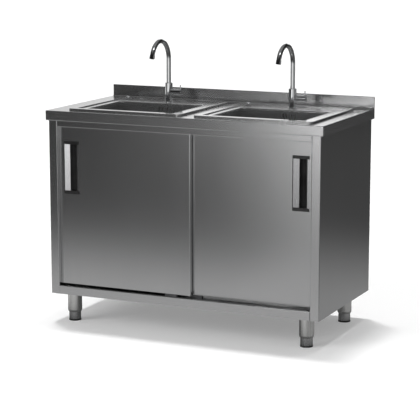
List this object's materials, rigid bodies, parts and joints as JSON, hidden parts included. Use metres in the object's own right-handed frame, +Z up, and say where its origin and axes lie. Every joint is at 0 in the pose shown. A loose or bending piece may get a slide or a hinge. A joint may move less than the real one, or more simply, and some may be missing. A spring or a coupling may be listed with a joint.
{
  "type": "double bowl sink cabinet",
  "caption": "Free-standing stainless sink cabinet with separate drop-in bowls, side-lever gooseneck taps, pop-up drains, sliding doors and levelling feet.",
  "frame": {"origin": "on the floor, under the middle of the worktop", "axes": "+X to the right as seen from the front, +Y from the front to the wall, +Z up"},
  "size_m": [1.2, 0.6, 1.1567],
  "materials": {
    "worktop_steel": "satin, brushed along the length",
    "sink_steel": "satin",
    "carcass_steel": "satin, brushed upright",
    "door_steel": "satin, brushed upright",
    "fittings_steel": "dull plated",
    "chrome": "polished",
    "brass": "turned",
    "lining_board": "raw board",
    "black_plastic": "matt",
    "nylon": "matt",
    "drain_plastic": "matt",
    "rubber": "matt"
  },
  "bodies": {
    "cabinet": {"worktop": "worktop_steel", "worktop_board": "lining_board", "left_side_panel": "carcass_steel", "right_side_panel": "carcass_steel", "back_panel": "carcass_steel", "bottom_shelf": "carcass_steel", "fascia": "carcass_steel", "upper_track": "fittings_steel", "track_stops": "rubber", "track_screws": "fittings_steel", "floor_guides": "nylon", "left_sink": "sink_steel", "right_sink": "sink_steel", "sink_seals": "rubber", "sink_clips": "fittings_steel", "waste_flanges": "sink_steel", "left_waste_body": "drain_plastic", "right_waste_body": "drain_plastic", "left_overflow": "drain_plastic", "right_overflow": "drain_plastic", "left_branch_pipe": "drain_plastic", "right_branch_pipe": "drain_plastic", "slip_nuts": "drain_plastic", "trap_body": "drain_plastic", "trap_cup": "drain_plastic", "knob_bushes": "chrome", "left_tap_body": "chrome", "right_tap_body": "chrome", "tap_locknuts": "brass", "foot_sleeves": "fittings_steel"},
    "left_door": {"left_door_panel": "door_steel", "left_door_liner": "door_steel", "left_handle_pocket": "black_plastic", "left_handle_strip": "door_steel", "left_door_hangers": "fittings_steel"},
    "left_door_left_roller": {"left_door_left_roller": "nylon"},
    "left_door_right_roller": {"left_door_right_roller": "nylon"},
    "right_door": {"right_door_panel": "door_steel", "right_door_liner": "door_steel", "right_handle_pocket": "black_plastic", "right_handle_strip": "door_steel", "right_door_hangers": "fittings_steel"},
    "right_door_left_roller": {"right_door_left_roller": "nylon"},
    "right_door_right_roller": {"right_door_right_roller": "nylon"},
    "left_spout": {"left_tap_spout": "chrome", "left_tap_aerator": "chrome"},
    "left_tap_cap": {"left_tap_cap": "chrome"},
    "left_tap_pin": {"left_tap_pin": "chrome"},
    "left_drain_knob": {"left_drain_knob": "chrome"},
    "left_drain_plug": {"left_drain_plug": "sink_steel"},
    "right_spout": {"right_tap_spout": "chrome", "right_tap_aerator": "chrome"},
    "right_tap_cap": {"right_tap_cap": "chrome"},
    "right_tap_pin": {"right_tap_pin": "chrome"},
    "right_drain_knob": {"right_drain_knob": "chrome"},
    "right_drain_plug": {"right_drain_plug": "sink_steel"},
    "front_left_foot": {"front_left_foot": "black_plastic"},
    "front_right_foot": {"front_right_foot": "black_plastic"},
    "back_left_foot": {"back_left_foot": "black_plastic"},
    "back_right_foot": {"back_right_foot": "black_plastic"}
  },
  "joints": [
    {"name": "left_door_slide", "type": "slide", "parent": "cabinet", "child": "left_door", "axis": [1, 0, 0], "range_m": [0, 0.475]},
    {"name": "left_door_left_roller_turn", "type": "hinge", "parent": "left_door", "child": "left_door_left_roller", "pos_m": [-0.47, -0.264, 0.8445], "axis": [0, 1, 0], "continuous": true},
    {"name": "left_door_right_roller_turn", "type": "hinge", "parent": "left_door", "child": "left_door_right_roller", "pos_m": [-0.053, -0.264, 0.8445], "axis": [0, 1, 0], "continuous": true},
    {"name": "right_door_slide", "type": "slide", "parent": "cabinet", "child": "right_door", "axis": [-1, 0, 0], "range_m": [0, 0.475]},
    {"name": "right_door_left_roller_turn", "type": "hinge", "parent": "right_door", "child": "right_door_left_roller", "pos_m": [0.053, -0.244, 0.8445], "axis": [0, 1, 0], "continuous": true},
    {"name": "right_door_right_roller_turn", "type": "hinge", "parent": "right_door", "child": "right_door_right_roller", "pos_m": [0.47, -0.244, 0.8445], "axis": [0, 1, 0], "continuous": true},
    {"name": "left_spout_swivel", "type": "hinge", "parent": "cabinet", "child": "left_spout", "pos_m": [-0.251, 0.127, 1], "axis": [0, 0, 1], "range_deg": [-90, 90]},
    {"name": "left_tap_cap_turn", "type": "hinge", "parent": "cabinet", "child": "left_tap_cap", "pos_m": [-0.201, 0.127, 0.93], "axis": [1, 0, 0], "range_deg": [-45, 45]},
    {"name": "left_tap_pin_tilt", "type": "hinge", "parent": "left_tap_cap", "child": "left_tap_pin", "pos_m": [-0.197, 0.127, 0.93], "axis": [0, 1, 0], "range_deg": [0, 20]},
    {"name": "left_drain_knob_turn", "type": "hinge", "parent": "cabinet", "child": "left_drain_knob", "pos_m": [-0.445, 0.127, 0.89], "axis": [0, 0, 1], "range_deg": [0, 90]},
    {"name": "left_drain_plug_rise", "type": "slide", "parent": "cabinet", "child": "left_drain_plug", "axis": [0, 0, 1], "range_m": [0, 0.01]},
    {"name": "right_spout_swivel", "type": "hinge", "parent": "cabinet", "child": "right_spout", "pos_m": [0.307, 0.127, 1], "axis": [0, 0, 1], "range_deg": [-90, 90]},
    {"name": "right_tap_cap_turn", "type": "hinge", "parent": "cabinet", "child": "right_tap_cap", "pos_m": [0.357, 0.127, 0.93], "axis": [1, 0, 0], "range_deg": [-45, 45]},
    {"name": "right_tap_pin_tilt", "type": "hinge", "parent": "right_tap_cap", "child": "right_tap_pin", "pos_m": [0.361, 0.127, 0.93], "axis": [0, 1, 0], "range_deg": [0, 20]},
    {"name": "right_drain_knob_turn", "type": "hinge", "parent": "cabinet", "child": "right_drain_knob", "pos_m": [0.113, 0.127, 0.89], "axis": [0, 0, 1], "range_deg": [0, 90]},
    {"name": "right_drain_plug_rise", "type": "slide", "parent": "cabinet", "child": "right_drain_plug", "axis": [0, 0, 1], "range_m": [0, 0.01]},
    {"name": "front_left_foot_level", "type": "slide", "parent": "cabinet", "child": "front_left_foot", "axis": [0, 0, -1], "range_m": [-0.02, 0.03]},
    {"name": "front_right_foot_level", "type": "slide", "parent": "cabinet", "child": "front_right_foot", "axis": [0, 0, -1], "range_m": [-0.02, 0.03]},
    {"name": "back_left_foot_level", "type": "slide", "parent": "cabinet", "child": "back_left_foot", "axis": [0, 0, -1], "range_m": [-0.02, 0.03]},
    {"name": "back_right_foot_level", "type": "slide", "parent": "cabinet", "child": "back_right_foot", "axis": [0, 0, -1], "range_m": [-0.02, 0.03]}
  ],
  "couplings": [
    {"joint": "left_door_left_roller_turn", "follows": "left_door_slide", "rad_per_m": 100},
    {"joint": "left_door_right_roller_turn", "follows": "left_door_slide", "rad_per_m": 100},
    {"joint": "right_door_left_roller_turn", "follows": "right_door_slide", "rad_per_m": -100},
    {"joint": "right_door_right_roller_turn", "follows": "right_door_slide", "rad_per_m": -100},
    {"joint": "left_drain_knob_turn", "follows": "left_drain_plug_rise", "rad_per_m": 157},
    {"joint": "right_drain_knob_turn", "follows": "right_drain_plug_rise", "rad_per_m": 157}
  ]
}
